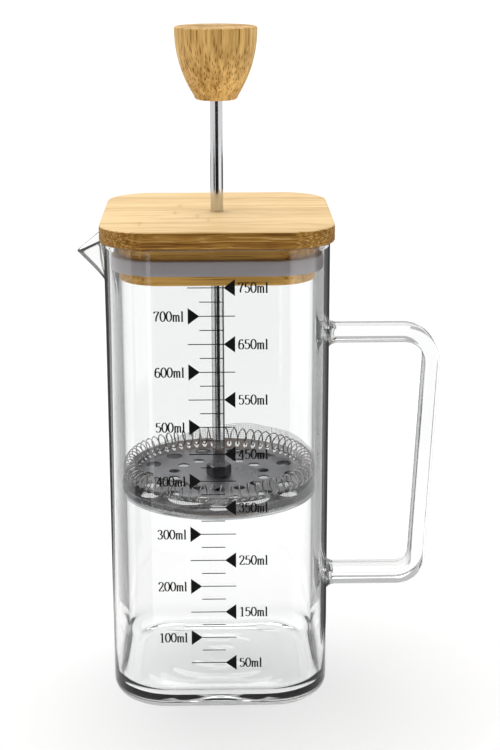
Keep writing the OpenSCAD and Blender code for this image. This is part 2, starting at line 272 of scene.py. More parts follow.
def spread_out(points, ways, gap):
    """The same line with extra points, so that no step is longer than gap."""
    out_p, out_w = [points[:1]], [ways[:1]]
    for i in range(1, len(points)):
        n = max(1, int(math.ceil(np.linalg.norm(points[i] - points[i - 1]) / gap)))
        t = np.linspace(0, 1, n + 1)[1:, None]
        out_p.append(points[i - 1] * (1 - t) + points[i] * t)
        w = ways[i - 1] * (1 - t) + ways[i] * t
        out_w.append(w / np.linalg.norm(w, axis=1)[:, None])
    return np.concatenate(out_p), np.concatenate(out_w)


line, way = bent_path([(JAR_HALF, GRIP_TOP), (GRIP_X, GRIP_TOP), (GRIP_X - GRIP_LEAN, GRIP_LOW),
    (JAR_HALF, GRIP_LOW)], (TOP_BEND, LOW_BEND), 24)
line, way = spread_out(line, way, 2.0)
line[[0, -1], 0] -= SUNK_IN

# The strap takes closer steps at its welds, where it thickens by a quarter circle's flare.
run = np.concatenate([[0], np.cumsum(np.linalg.norm(np.diff(line, axis=0), axis=1))])
weld_steps = SUNK_IN + WELD * np.linspace(0, 1, 10) ** 1.6
finer = np.sort(np.concatenate([run, weld_steps, run[-1] - weld_steps]))
line = np.stack([np.interp(finer, run, line[:, i]) for i in range(2)], -1)
way = np.stack([np.interp(finer, run, way[:, i]) for i in range(2)], -1)
way /= np.linalg.norm(way, axis=1)[:, None]
from_wall = np.minimum(finer, finer[-1] - finer) - SUNK_IN
flare = WELD * (1 - np.sqrt(1 - np.clip(1 - from_wall / WELD, 0, 1) ** 2)) * 0.98
arc_c, arc_s = arc(0, 90, 6)
side_c = np.concatenate([arc_c, -arc_s, -arc_c, arc_s])
side_s = np.concatenate([arc_s, arc_c, -arc_s, -arc_c])
sign_t, sign_d = np.repeat([1, -1, -1, 1], 7), np.repeat([1, 1, -1, -1], 7)
round_r = (STRAP_R + flare / 2)[:, None]
across = sign_t * (STRAP_T / 2 + flare[:, None] - round_r) + round_r * side_c
deep = sign_d * (STRAP_D / 2 + 0.6 * flare[:, None] - round_r) + round_r * side_s
strap = np.stack([line[:, :1] - across * way[:, 1:], deep, line[:, 1:] + across * way[:, :1]], -1)
handle = mesh_piece("welded_glass_handle", strap, poles=(True, True), sharp=60)
handle.data.materials.append(clear_glass("handle_borosilicate", (0.978, 0.985, 0.983), 0.12))
handle.visible_shadow = handle.visible_diffuse = False
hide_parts("glass_handle")
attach(handle, "jar")


# ---------------------------------------------------------------- Printed scale
# The millilitre scale is black ceramic ink fired onto the outside of the jar's front face: a pointer and
# a number every 50 ml, turn and turn about on both sides, and a short tick half way between.

MARK_TOP_Z, MARK_STEP, MARKS = 156.4, 9.798, 15
FIGURE_H, FIGURE_W, FIGURE_SPACE = 3.6, 4.35, 0.48
PEN_THICK, PEN_THIN, LINE_WIDE, POINTER_HALF = 0.56, 0.24, 0.32, 2.9
INK_FRONT, INK_BACK = -JAR_HALF - 0.05, -JAR_HALF - 0.015

# Each figure as pen strokes in a box 1 high: a point is (x, z). The pen is broad down and thin across.
FIGURES = {
    "0": [("loop", 0.23, 0.5, 0.19, 0.47)],
    "1": [("line", [(0.1, 0.86), (0.24, 0.97), (0.24, 0.03)]), ("line", [(0.1, 0.02), (0.38, 0.02)])],
    "2": [("line", [(0.05, 0.74), (0.07, 0.88), (0.16, 0.96), (0.28, 0.95), (0.37, 0.86), (0.38, 0.72),
        (0.32, 0.55), (0.18, 0.3), (0.05, 0.05)]), ("line", [(0.05, 0.04), (0.4, 0.04), (0.42, 0.17)])],
    "3": [("line", [(0.06, 0.8), (0.1, 0.92), (0.2, 0.97), (0.31, 0.92), (0.35, 0.78), (0.31, 0.62),
        (0.2, 0.54)]), ("line", [(0.2, 0.54), (0.33, 0.47), (0.39, 0.32), (0.36, 0.14), (0.24, 0.03),
        (0.11, 0.06), (0.05, 0.18)])],
    "4": [("line", [(0.31, 0.03), (0.31, 0.97), (0.03, 0.3), (0.43, 0.3)]),
        ("line", [(0.2, 0.02), (0.41, 0.02)])],
    "5": [("line", [(0.38, 0.94), (0.1, 0.94), (0.08, 0.54), (0.2, 0.62), (0.32, 0.58), (0.4, 0.42),
        (0.39, 0.2), (0.28, 0.05), (0.14, 0.04), (0.05, 0.16)])],
    "6": [("line", [(0.37, 0.84), (0.28, 0.96), (0.15, 0.9), (0.07, 0.7), (0.05, 0.4)]),
        ("loop", 0.23, 0.3, 0.18, 0.28)],
    "7": [("line", [(0.05, 0.8), (0.06, 0.95), (0.41, 0.95), (0.27, 0.6), (0.19, 0.3), (0.18, 0.03)])],
    "m": [("line", [(0.03, 0.58), (0.1, 0.62), (0.1, 0.03)]),
        ("line", [(0.1, 0.5), (0.2, 0.63), (0.3, 0.58), (0.31, 0.03)]),
        ("line", [(0.31, 0.5), (0.42, 0.63), (0.51, 0.58), (0.52, 0.03)]),
        ("line", [(0.03, 0.02), (0.17, 0.02)]), ("line", [(0.24, 0.02), (0.38, 0.02)]),
        ("line", [(0.45, 0.02), (0.6, 0.02)])],
    "l": [("line", [(0.05, 0.94), (0.13, 0.98), (0.13, 0.03)]), ("line", [(0.04, 0.02), (0.22, 0.02)])],
}
OWN_SPACE = {"m": 0.64, "l": 0.26, "1": 0.47}


def pen_stroke(points):
    """A flat ribbon along a line: its width goes from thin where it runs level to thick where it runs up
    and down."""
    p = np.asarray(points, float)
    d = np.gradient(p, axis=0)
    d /= np.linalg.norm(d, axis=1)[:, None] + 1e-9
    wide = PEN_THIN + (PEN_THICK - PEN_THIN) * np.abs(d[:, 1]) ** 1.5
    side = np.stack([-d[:, 1], d[:, 0]], -1) * wide[:, None] / 2
    return np.stack([p - side, p + side], 1)


def dense(points, n):
    """The line through the points in n even steps."""
    p = np.asarray(points, float)
    s = np.concatenate([[0], np.cumsum(np.linalg.norm(np.diff(p, axis=0), axis=1))])
    t = np.linspace(0, s[-1], n)
    return np.stack([np.interp(t, s, p[:, i]) for i in range(2)], -1)


ribbons = []


def write(text, x, z):
    """Adds a word's strokes, starting at x with their middle at height z, as ribbons of the print."""
    pen_x = 0.0
    for mark in text:
        for stroke in FIGURES[mark]:
            if stroke[0] == "loop":
                a = np.linspace(0, 2 * np.pi, 33)
                middle_x, middle_z, reach_x, reach_z = stroke[1:]
                points = np.stack([middle_x + reach_x * np.sin(a), middle_z + reach_z * np.cos(a)], -1)
            else:
                points = dense(stroke[1], 26)
            points = (points + [pen_x, 0]) * [FIGURE_W, FIGURE_H] + [x, z - FIGURE_H / 2]
            ribbons.append(pen_stroke(points))
        pen_x += OWN_SPACE.get(mark, FIGURE_SPACE)


def rule(x0, x1, z):
    """Adds a straight printed line at one height."""
    low, high = z - LINE_WIDE / 2, z + LINE_WIDE / 2
    ribbons.append(np.array([[[x0, low], [x0, high]], [[x1, low], [x1, high]]]))


def pointer(x_flat, x_tip, z):
    """Adds a solid triangle from its upright side to its tip."""
    upright = [[x_flat, z - POINTER_HALF], [x_flat, z + POINTER_HALF]]
    ribbons.append(np.array([upright, [[x_tip, z - 0.02], [x_tip, z + 0.02]]]))


for i in range(MARKS):
    z, amount = MARK_TOP_Z - i * MARK_STEP, 750 - 50 * i
    if i % 2 == 0:
        rule(-10.16, 2.2, z)
        pointer(5.85, 2.0, z)
        write(f"{amount}ml", 6.9, z)
    else:
        rule(-6.3, 5.85, z)
        pointer(-10.1, -6.2, z)
        write(f"{amount}ml", -21.6, z)
    if i < MARKS - 1:
        rule(-6.2, 2.1, z - MARK_STEP / 2)

# Each ribbon becomes a thin closed slab: its front points come first, then its back points.
ink_points, ink_faces = [], []
for flat in ribbons:
    n, base = len(flat), sum(len(q) for q in ink_points)
    front = np.stack([flat[..., 0], np.full((n, 2), INK_FRONT), flat[..., 1]], -1).reshape(-1, 3)
    back = front + [0, INK_BACK - INK_FRONT, 0]
    ink_points.append(np.vstack([front, back]))
    k = base + 2 * np.arange(n - 1)[:, None]
    o = 2 * n
    strips = [k + [0, 2, 3, 1], k + [o, o + 1, o + 3, o + 2], k + [0, o, o + 2, 2],
        k + [1, 3, o + 3, o + 1]]
    ends = [[base, base + 1, base + o + 1, base + o],
        [base + o - 2, base + 2 * o - 2, base + 2 * o - 1, base + o - 1]]
    ink_faces += np.concatenate(strips).tolist() + ends
scale = piece_from("printed_millilitre_scale", np.vstack(ink_points), ink_faces, 30)
ink, tree, shader, add = new_finish("fired_black_ink")
where = add("TexCoord").outputs["Object"]
speck = add("TexNoise", {"Vector": where, "Scale": 2600.0, "Detail": 2.0}).outputs[0]
tree.links.new(ramp(add, speck, [(0.35, (0.003, 0.003, 0.003)), (0.7, (0.008, 0.008, 0.009))]),
    shader.inputs["Base Color"])
tree.links.new(ramp(add, speck, [(0.3, (0.45,) * 3), (0.7, (0.62,) * 3)]), shader.inputs["Roughness"])
shader.inputs["Specular IOR Level"].default_value = 0.1
scale.data.materials.append(ink)
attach(scale, "jar")


# ---------------------------------------------------------------- Lid
# The lid is two boards of laminated bamboo glued together: a wide top board that rests on the glass, and
# a smaller plug under it that drops into the jar. Fibres run along X, so the ends show their pores.

lid_low, lid_high = corners("lid_board")
LID_LOW, LID_TOP, LID_HALF = lid_low[2], lid_high[2], lid_high[0]
LID_CORNER, LID_EDGE, BORE_R = 16.5, 0.8, 2.35
# Below this height the lid board's sides are darkened: painted shade, because the sides get less light than
# the top.
SIDE_SHADE_BELOW = 0.1751
LIGHT_BAMBOO, DARK_BAMBOO = (1.0, 0.73, 0.37), (0.15, 0.052, 0.002)


def board(name, steps, outline, bore):
    """A board with a round hole up its middle. outline gives (half, corner, z) from the underside out and
    up to the top. The flat faces run in from it to the hole's circle in straight lines."""
    outline = np.asarray(outline, float)
    rings = square_rings(steps, *outline.T)
    way = rings[0, :, :2] / np.linalg.norm(rings[0, :, :2], axis=1)[:, None]
    low, high = outline[0, 2], outline[-1, 2]

    def hole(r, z):
        return np.concatenate([way * r, np.full((len(way), 1), z)], -1)[None]

    t = np.linspace(0, 1, 9)[1:-1, None, None]
    into = rings[-1:] * (1 - t) + hole(bore + 0.25, high) * t
    out = hole(bore + 0.15, low) * (1 - t) + rings[:1] * t
    grid = np.concatenate([rings, into, hole(bore + 0.25, high), hole(bore + 0.05, high - 0.15),
        hole(bore, high - 0.4), hole(bore, low + 0.15), hole(bore + 0.15, low), out])
    return mesh_piece(name, grid, along=True, sharp=50)


def rounded_side(half, corner, low, high, edge_low, edge_high, n=6):
    """The outline of a board's side: a quarter circle at the lower edge, then one at the upper edge."""
    lc, ls = arc(-90, 0, n)
    uc, us = arc(0, 90, n)
    off = np.concatenate([edge_low * (lc - 1), edge_high * (uc - 1)])
    z = np.concatenate([low + edge_low * (1 + ls), high - edge_high * (1 - us)])
    return np.stack([half + off, corner + off, z], -1)


def bamboo(name, turn, light, dark, strip, contrast, lift=0.0, joints=0.0, shade_below=None):
    """Laminated bamboo. Long fibre bundles are columns along the grain, so they show as fine streaks along
    a board and as dark pores at its ends. Strips differ a little in tone, and a faint ring crosses each
    strip at its nodes. turn brings the grain to X. Below the height given last, the colour is darkened
    in thin streaks, as painted shade for side faces that get less light than the top. The colour goes
    from light to dark with the weighted sum of these patterns."""
    made, tree, shader, add = new_finish(name)
    where = add("TexCoord").outputs["Object"]
    lie = add("Mapping", {"Vector": where, "Rotation": turn}).outputs[0]
    part = add("SeparateXYZ", {0: lie}).outputs
    slow = add("TexNoise", {"Vector": lie, "Scale": 55.0, "Detail": 1.0}).outputs["Color"]
    centred = add("VectorMath", {0: slow, 1: (0.5, 0.5, 0.5)}, operation="SUBTRACT").outputs[0]
    swing = add("VectorMath", {0: centred, "Scale": 0.0011}, operation="SCALE").outputs[0]
    bent = add("VectorMath", {0: lie, 1: swing}, operation="ADD").outputs[0]
    columns = add("Mapping", {"Vector": bent, "Scale": (42, 1500, 1500)}).outputs[0]
    cell = add("TexVoronoi", {"Vector": columns, "Scale": 1.0, "Randomness": 0.95})
    pore = ramp(add, cell.outputs["Distance"], [(0.12, (1, 1, 1)), (0.42, (0, 0, 0))])
    streaks = add("Mapping", {"Vector": bent, "Scale": (16, 620, 620)}).outputs[0]
    streak = add("TexNoise", {"Vector": streaks, "Scale": 1.0, "Detail": 5.0, "Roughness": 0.62}).outputs[0]
    streak = ramp(add, streak, [(0.32, (0, 0, 0)), (0.72, (1, 1, 1))])
    broad = add("Mapping", {"Vector": bent, "Scale": (7, 95, 95)}).outputs[0]
    cloud = add("TexNoise", {"Vector": broad, "Scale": 1.0, "Detail": 2.0}).outputs[0]
    cloud = ramp(add, cloud, [(0.3, (0, 0, 0)), (0.7, (1, 1, 1))])
    count = add("Math", {0: part[1], 1: strip}, operation="DIVIDE").outputs[0]
    index = add("Math", {0: count}, operation="FLOOR").outputs[0]
    tone = add("TexWhiteNoise", {"W": index}, noise_dimensions="1D").outputs[0]
    patch = add("Math", {0: tone, 1: 0.09}, operation="MULTIPLY").outputs[0]
    shift = add("Math", {0: part[0], 1: patch}, operation="ADD").outputs[0]
    lap = add("Math", {0: shift, 1: 0.097}, operation="PINGPONG").outputs[0]
    ring = ramp(add, add("Math", {0: lap, 1: 400.0}, operation="MULTIPLY").outputs[0],
        [(0.1, (0.5,) * 3), (0.3, (0.15,) * 3), (0.9, (0, 0, 0))])

    def mixed(a, b, weight):
        return add("Math", {0: a, 1: weight, 2: b}, operation="MULTIPLY_ADD").outputs[0]

    amount = mixed(pore, lift, 0.34 * contrast)
    amount = mixed(streak, amount, 0.36 * contrast)
    amount = mixed(cloud, amount, 0.22 * contrast)
    amount = mixed(tone, amount, 0.16 * contrast)
    amount = mixed(ring, amount, joints)
    if shade_below is not None:
        # Painted shade: below the given height the colour is darkened in thin streaks, for sides lit less
        # than the top.
        high = add("SeparateXYZ", {0: where}).outputs[2]
        below = add("MapRange", {0: high, 1: shade_below - 0.0001, 2: shade_below + 0.00015, 3: 1.0, 4: 0.0}).outputs[0]
        thin = add("Mapping", {"Vector": bent, "Scale": (9, 1900, 1900)}).outputs[0]
        thin = add("TexNoise", {"Vector": thin, "Scale": 1.0, "Detail": 4.0, "Roughness": 0.7}).outputs[0]
        thin = ramp(add, thin, [(0.38, (0, 0, 0)), (0.64, (1, 1, 1))])
        painted_side_shade = add("Math", {0: thin, 1: 0.55, 2: 0.26}, operation="MULTIPLY_ADD").outputs[0]
        amount = add("Math", {0: below, 1: painted_side_shade, 2: amount}, operation="MULTIPLY_ADD").outputs[0]
    middle = tuple(math.sqrt(a * b) for a, b in zip(light, dark))
    colour = ramp(add, amount, [(0.0, light), (0.55, middle), (1.0, dark)])
    tree.links.new(colour, shader.inputs["Base Color"])
    rough = ramp(add, amount, [(0.0, (0.42,) * 3), (1.0, (0.62,) * 3)])
    tree.links.new(rough, shader.inputs["Roughness"])
    shader.inputs["Specular IOR Level"].default_value = 0.18
    shader.inputs["Coat Weight"].default_value = 0.05
    shader.inputs["Coat Roughness"].default_value = 0.35
    bump = add("Bump", {"Height": amount, "Strength": 0.18, "Distance": 0.0002}, invert=True).outputs[0]
    tree.links.new(bump, shader.inputs["Normal"])
    return made


lid_steps = square_steps(26, 14)
top_board = board("bamboo_lid_board", lid_steps,
    rounded_side(LID_HALF, LID_CORNER, LID_LOW, LID_TOP, LID_EDGE, LID_EDGE), BORE_R)
top_board.data.materials.append(bamboo("lid_bamboo", (0, 0, 0), LIGHT_BAMBOO, DARK_BAMBOO, 0.0072, 0.66,
    -0.1, 0.2, shade_below=SIDE_SHADE_BELOW))
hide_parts("lid_board")
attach(top_board, "lid")

plug_low, plug_high = corners("lid_plug")
seal_low, seal_high = corners("lid_seal")
PLUG_HALF, PLUG_LOW = plug_high[0], plug_low[2]
PLUG_CORNER = PLUG_HALF - JAR_HALF + JAR_CORNER
GROOVE_LOW, GROOVE_TOP, GROOVE_D = seal_low[2], seal_high[2], 2.0
GROOVE_HALF, GROOVE_CORNER = PLUG_HALF - GROOVE_D, PLUG_CORNER - GROOVE_D
side = rounded_side(PLUG_HALF, PLUG_CORNER, PLUG_LOW, LID_LOW, LID_EDGE, 0.05)
groove = np.array([[PLUG_HALF, PLUG_CORNER, GROOVE_LOW], [GROOVE_HALF, GROOVE_CORNER, GROOVE_LOW],
    [GROOVE_HALF, GROOVE_CORNER, GROOVE_TOP], [PLUG_HALF, PLUG_CORNER, GROOVE_TOP]])
below = len(side) // 2
plug = board("bamboo_lid_plug", lid_steps, np.vstack([side[:below], groove, side[below:]]), BORE_R)
plug.data.materials.append(bamboo("plug_bamboo", (0, 0, 0), (0.95, 0.58, 0.16), (0.13, 0.05, 0.003), 0.0055,
    0.95, 0.0, 0.15))
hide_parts("lid_plug")
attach(plug, "lid")


# ---------------------------------------------------------------- Silicone seal
# The seal is a moulded band of milky silicone stretched into the plug's groove. Its outer face swells a
# little and presses lightly on the glass.

SEAL_HALF, SEAL_LOW, SEAL_TOP = seal_high[0], seal_low[2], seal_high[2]
SEAL_CORNER, SEAL_SWELL, SEAL_BEVEL = SEAL_HALF - JAR_HALF + JAR_CORNER, 0.7, 0.3
seal_c, seal_s = arc(-90, 90, 14)
swell_off = -SEAL_SWELL * (1 - np.abs(seal_c) ** 0.6)
middle_z, reach_z = (SEAL_LOW + SEAL_TOP) / 2, (SEAL_TOP - SEAL_LOW) / 2
bevel_half, bevel_corner = GROOVE_HALF + SEAL_BEVEL, GROOVE_CORNER + SEAL_BEVEL
outline = np.vstack([
    np.stack([SEAL_HALF + swell_off, SEAL_CORNER + swell_off, middle_z + reach_z * seal_s], -1),
    [[bevel_half, bevel_corner, SEAL_TOP], [GROOVE_HALF, GROOVE_CORNER, SEAL_TOP - SEAL_BEVEL],
     [GROOVE_HALF, GROOVE_CORNER, SEAL_LOW + SEAL_BEVEL], [bevel_half, bevel_corner, SEAL_LOW]]])
seal = mesh_piece("silicone_lid_seal", square_rings(lid_steps, *outline.T), along=True, sharp=60)
milky, tree, shader, add = new_finish("milky_silicone_painted_shade")
where = add("TexCoord").outputs["Object"]
haze = add("TexNoise", {"Vector": where, "Scale": 45.0, "Detail": 2.0}).outputs[0]
# The base colour is a dark grey, far darker than milky silicone: partly the grey of translucent silicone,
# partly painted shade for the seal sitting in shade under the lid's edge.
tree.links.new(ramp(add, haze, [(0.3, (0.27, 0.25, 0.265)), (0.7, (0.32, 0.30, 0.315))]),
    shader.inputs["Base Color"])
tree.links.new(ramp(add, haze, [(0.3, (0.34,) * 3), (0.7, (0.42,) * 3)]), shader.inputs["Roughness"])
shader.inputs["Subsurface Weight"].default_value = 0.25
shader.inputs["Subsurface Radius"].default_value = (0.004, 0.003, 0.003)
shader.inputs["Subsurface Scale"].default_value = 0.5
seal.data.materials.append(milky)
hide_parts("lid_seal")
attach(seal, "lid")


# ---------------------------------------------------------------- Plunger rod
# The rod is polished stainless steel bar. Its lower end is threaded for the nuts that clamp the filter,
# and its upper end screws into the brass insert inside the knob.

rod_low, rod_high = corners("plunger_rod")
ROD_R, ROD_LOW, ROD_HIGH, ROD_BEVEL = rod_high[0], rod_low[2], rod_high[2], 0.4
THREAD_TOP, THREAD_PITCH, THREAD_DEEP = 78.4, 0.8, 0.22


def turned(name, profile, steps, poles, sharp):
    """A profile of (radius, z) carried once round the Z axis."""
    profile = np.asarray(profile, float)
    a = np.linspace(0, 2 * np.pi, steps, endpoint=False)
    r, z = profile[:, :1], profile[:, 1:]
    grid = np.stack([r * np.cos(a), r * np.sin(a), np.broadcast_to(z, (len(profile), steps))], -1)
    return mesh_piece(name, grid, poles=poles, sharp=sharp)


# The thread is a V cut that climbs one pitch a turn and runs out at its top.
a = np.linspace(0, 2 * np.pi, 64, endpoint=False)[None, :]
rod_z = np.concatenate([[ROD_LOW, ROD_LOW + ROD_BEVEL], np.arange(ROD_LOW + 0.6, THREAD_TOP, 0.09),
    [THREAD_TOP + 0.4, THREAD_TOP + 0.8], np.linspace(90, ROD_HIGH - 0.5, 12), [ROD_HIGH]])[:, None]
threaded = (rod_z > ROD_LOW + 0.5) & (rod_z < THREAD_TOP)
climb = (rod_z / THREAD_PITCH - a / (2 * np.pi)) % 1
thread = THREAD_DEEP * np.abs(climb * 2 - 1) * np.clip((THREAD_TOP - rod_z) / THREAD_PITCH, 0, 1)
at_end = (rod_z <= ROD_LOW + 0.01) | (rod_z >= ROD_HIGH - 0.01)
rod_r = np.where(threaded, ROD_R - thread, ROD_R) - ROD_BEVEL * at_end
rod_grid = np.stack([rod_r * np.cos(a), rod_r * np.sin(a), np.broadcast_to(rod_z, rod_r.shape)], -1)
rod = mesh_piece("polished_plunger_rod", rod_grid, poles=(True, True), sharp=35)


def steel(name, colour, rough_low, rough_high, grain, scratch):
    """Stainless steel: roughness varies in a fine drawn grain, with light scratches in its surface."""
    made, tree, shader, add = new_finish(name)
    where = add("TexCoord").outputs["Object"]
    lines = add("Mapping", {"Vector": where, "Scale": grain}).outputs[0]
    drawn = add("TexNoise", {"Vector": lines, "Scale": 1.0, "Detail": 4.0}).outputs[0]
    cloud = add("TexNoise", {"Vector": where, "Scale": 60.0, "Detail": 2.0}).outputs[0]
    both = add("Math", {0: drawn, 1: 0.6, 2: cloud}, operation="MULTIPLY_ADD").outputs[0]
    tree.links.new(ramp(add, both, [(0.5, (rough_low,) * 3), (1.1, (rough_high,) * 3)]),
        shader.inputs["Roughness"])
    tree.links.new(ramp(add, both, [(0.45, tuple(0.93 * c for c in colour)), (1.0, colour)]),
        shader.inputs["Base Color"])
    shader.inputs["Metallic"].default_value = 1.0
    bump = add("Bump", {"Height": drawn, "Strength": scratch, "Distance": 0.00005}).outputs[0]
    tree.links.new(bump, shader.inputs["Normal"])
    return made


rod.data.materials.append(steel("polished_steel", (0.60, 0.60, 0.61), 0.05, 0.13, (2600, 2600, 30), 0.06))
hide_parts("plunger_rod")
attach(rod, "plunger")


# ---------------------------------------------------------------- Knob
# The knob is turned from a block of bamboo with the grain upright, then sanded smooth and oiled. It swells
# in one long curve from a narrow foot to a flat top, with a threaded brass insert pressed in from below.

knob_low, knob_high = corners("knob")
KNOB_LOW, KNOB_H, KNOB_R = knob_low[2], knob_high[2] - knob_low[2], knob_high[0]
KNOB_FOOT, KNOB_EDGE, FOOT_ROUND = 6.8, 0.8, 1.2
INSERT_R, INSERT_DEEP = 3.5, 13.6
side_top = KNOB_H - KNOB_EDGE
side_drop = KNOB_R - KNOB_FOOT
side_r = (side_top ** 2 + side_drop ** 2) / (2 * side_drop)


def side_x(z):
    """How far out the knob's side is at a height above its foot: one arc, upright at the top edge, that
    comes in to the foot's radius at the bottom."""
    return KNOB_R - side_r + np.sqrt(side_r ** 2 - (side_top - z) ** 2)


foot_x = side_x(FOOT_ROUND)
uc, us = arc(-80, 0, 6)
ec, es = arc(0, 90, 6)
rise = np.linspace(FOOT_ROUND, side_top, 26)
profile = np.concatenate([
    np.array([[0.6, INSERT_DEEP], [INSERT_R, INSERT_DEEP], [INSERT_R, 0.0], [foot_x - FOOT_ROUND, 0.0]]),
    np.stack([foot_x - FOOT_ROUND + FOOT_ROUND * uc, FOOT_ROUND + FOOT_ROUND * us], -1),
    np.stack([side_x(rise[1:-1]), rise[1:-1]], -1),
    np.stack([KNOB_R - KNOB_EDGE + KNOB_EDGE * ec, side_top + KNOB_EDGE * es], -1),
    np.array([[10, KNOB_H], [6, KNOB_H], [2, KNOB_H]])])
knob = turned("turned_bamboo_knob", profile + [0, KNOB_LOW], 96, poles=(True, True), sharp=45)
knob.data.materials.append(bamboo("knob_bamboo", (0, math.radians(90), 0), (0.98, 0.63, 0.22),
    (0.10, 0.033, 0.0015), 0.0068, 1.15, -0.1, 0.25))
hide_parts("knob")
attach(knob, "plunger")

brass = steel("brass_insert", (0.72, 0.53, 0.25), 0.25, 0.4, (900, 900, 900), 0.1)
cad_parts["knob_insert"].data.materials.clear()
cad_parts["knob_insert"].data.materials.append(brass)


# ---------------------------------------------------------------- Filter plates and nuts
# The filter is a stack on the rod's threaded end: a hexagon nut, the pressed strainer plate with its holes,
# a spacer, the woven mesh, the base plate with its rolled edge, and a cap nut. All is stainless steel.

# The strainer plate's colour is far darker than the rod's and base plate's steel: painted shade for the
# plate's place in shade under the lid. Its duller pressed finish is in the roughness.
shaded_plate_steel = steel("pressed_plate_steel", (0.22, 0.22, 0.23), 0.26, 0.4, (1100, 60, 60), 0.12)
nut_steel = steel("nut_steel", (0.16, 0.16, 0.17), 0.12, 0.24, (700, 700, 700), 0.1)
base_steel = steel("base_plate_steel", (0.55, 0.55, 0.56), 0.14, 0.26, (60, 1100, 60), 0.1)
for node, finish in (("strainer_plate", shaded_plate_steel), ("base_plate", base_steel), ("clamp_nut", nut_steel),
        ("cap_nut", nut_steel), ("filter_spacer", nut_steel)):
    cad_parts[node].data.materials.clear()
    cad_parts[node].data.materials.append(finish)


# ---------------------------------------------------------------- Edge spring
# The edge spring is one length of thin steel wire wound into sixty-four coils and joined in a ring. Each
# coil is threaded through a hole in the strainer plate's sloping rim and presses the mesh to the glass.

COILS, RING_R, COIL_R, COIL_Z, WIRE_R = 64, 33.15, 3.0, 81.4, 0.25
COIL_STEPS, WIRE_SIDES = 28, 6

# The coils crowd a little in some places and spread in others, as a spring pushed through holes does.
turn = np.linspace(0, 2 * np.pi * COILS, COILS * COIL_STEPS, endpoint=False)
round_z = turn / COILS
crowding = 0.16 * np.sin(7 * round_z + 1.0) + 0.1 * np.sin(19 * round_z)
round_z = round_z + 0.02 * crowding


def coil_line(turn, round_z):
    """The wire's middle line: a circle in the upright plane through Z, carried round Z as it turns."""
    out = RING_R + COIL_R * np.cos(turn)
    return np.stack([out * np.cos(round_z), out * np.sin(round_z), COIL_Z + COIL_R * np.sin(turn)], -1)


wire_line = coil_line(turn, round_z)
ahead = np.roll(wire_line, -1, 0) - np.roll(wire_line, 1, 0)
ahead /= np.linalg.norm(ahead, axis=1)[:, None]
outward = np.stack([np.cos(turn) * np.cos(round_z), np.cos(turn) * np.sin(round_z), np.sin(turn)], -1)
outward -= (outward * ahead).sum(1)[:, None] * ahead
outward /= np.linalg.norm(outward, axis=1)[:, None]
third = np.cross(ahead, outward)
b = np.linspace(0, 2 * np.pi, WIRE_SIDES, endpoint=False)[None, :, None]
wire = wire_line[:, None] + WIRE_R * (np.cos(b) * outward[:, None] + np.sin(b) * third[:, None])
spring = mesh_piece("coiled_edge_spring", wire, along=True, sharp=80)
spring.data.materials.append(steel("spring_wire_steel", (0.42, 0.42, 0.43), 0.08, 0.18,
    (1500, 1500, 1500), 0.05))
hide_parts("edge_spring")
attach(spring, "plunger")


# ---------------------------------------------------------------- Woven mesh
# The mesh is a disc of plain-woven steel wire, pressed into a shallow cup. Its floor lies on the base
# plate, and its side stands up between the spring and the glass, where the spring holds it out.

MESH_R, MESH_LOW, MESH_WIRE = 36.65, 74.65, 0.06
SIDE_PITCH, FLOOR_PITCH, HUB_R = 0.68, 0.8, 2.3


def mesh_edge(a):
    """Height of the cloth's cut edge at a bearing: it stands highest at the back and right, and two small
    waves keep it uneven."""
    back = 0.5 + 0.5 * np.cos(a - 1.0)
    return 76.3 + 9.5 * back ** 2.2 + 0.35 * np.sin(5 * a + 0.6) + 0.2 * np.sin(11 * a)


def wires(lines, ups):
    """Three-sided wires along many lines at once: a triangle's corners round each point, square to the
    line. lines is (wire, point, 3), and ups gives one side's direction."""
    ahead = np.gradient(lines, axis=1)
    ahead /= np.linalg.norm(ahead, axis=2)[..., None]
    ups = ups - (ups * ahead).sum(2)[..., None] * ahead
    ups /= np.linalg.norm(ups, axis=2)[..., None]
    third = np.cross(ahead, ups)
    b = np.radians([90, 210, 330])[None, None, :, None]
    return lines[:, :, None] + MESH_WIRE * (np.sin(b) * ups[:, :, None] + np.cos(b) * third[:, :, None])


def wire_faces(grid, start, closed):
    """Quads for many three-sided wires, with their ends closed unless each is a loop."""
    w, n = grid.shape[:2]
    i = np.arange(w)[:, None, None] * n * 3 + start
    j = np.arange(n if closed else n - 1)[None, :, None]
    k = np.arange(3)[None, None, :]
    j2, k2 = (j + 1) % n, (k + 1) % 3
    here, there = i + 3 * j, i + 3 * j2
    quads = np.stack([here + k, there + k, there + k2, here + k2], -1).reshape(-1, 4).tolist()
    if closed:
        return quads
    near = i[:, 0, 0]
    far = near + 3 * (n - 1)
    near_ends = np.stack([near, near + 1, near + 2], -1).tolist()
    return quads + near_ends + np.stack([far + 2, far + 1, far], -1).tolist()


def weave(offset, phase):
    """Over and under: which side of the cloth a wire lies on at each crossing."""
    return 0.6 * MESH_WIRE * np.cos(np.pi * (offset + phase))


# The side is woven of upright wires and of rings that pass over and under them.
count = int(2 * math.pi * MESH_R / SIDE_PITCH) // 2 * 2
rows = 14
post, row = np.arange(count)[:, None], np.arange(rows + 1)[None, :]
spin = post * 2 * np.pi / count
outward = np.stack([np.cos(spin), np.sin(spin), spin * 0], -1)
tall = MESH_LOW + (mesh_edge(spin) - MESH_LOW) * row / rows
r = MESH_R + weave(row, post)
upright = np.stack([r * np.cos(spin), r * np.sin(spin), tall], -1)
grid_a = wires(upright, np.broadcast_to(outward, upright.shape))
r = MESH_R - weave(post.T, row.T)
level = np.stack([r * np.cos(spin.T), r * np.sin(spin.T), tall.T], -1)
grid_b = wires(level, np.broadcast_to(outward.transpose(1, 0, 2), level.shape))
faces = wire_faces(grid_a, 0, False) + wire_faces(grid_b, grid_a.size // 3, True)
points = np.vstack([grid_a.reshape(-1, 3), grid_b.reshape(-1, 3)])
mesh_wall = piece_from("woven_mesh_side", points, faces, 80)

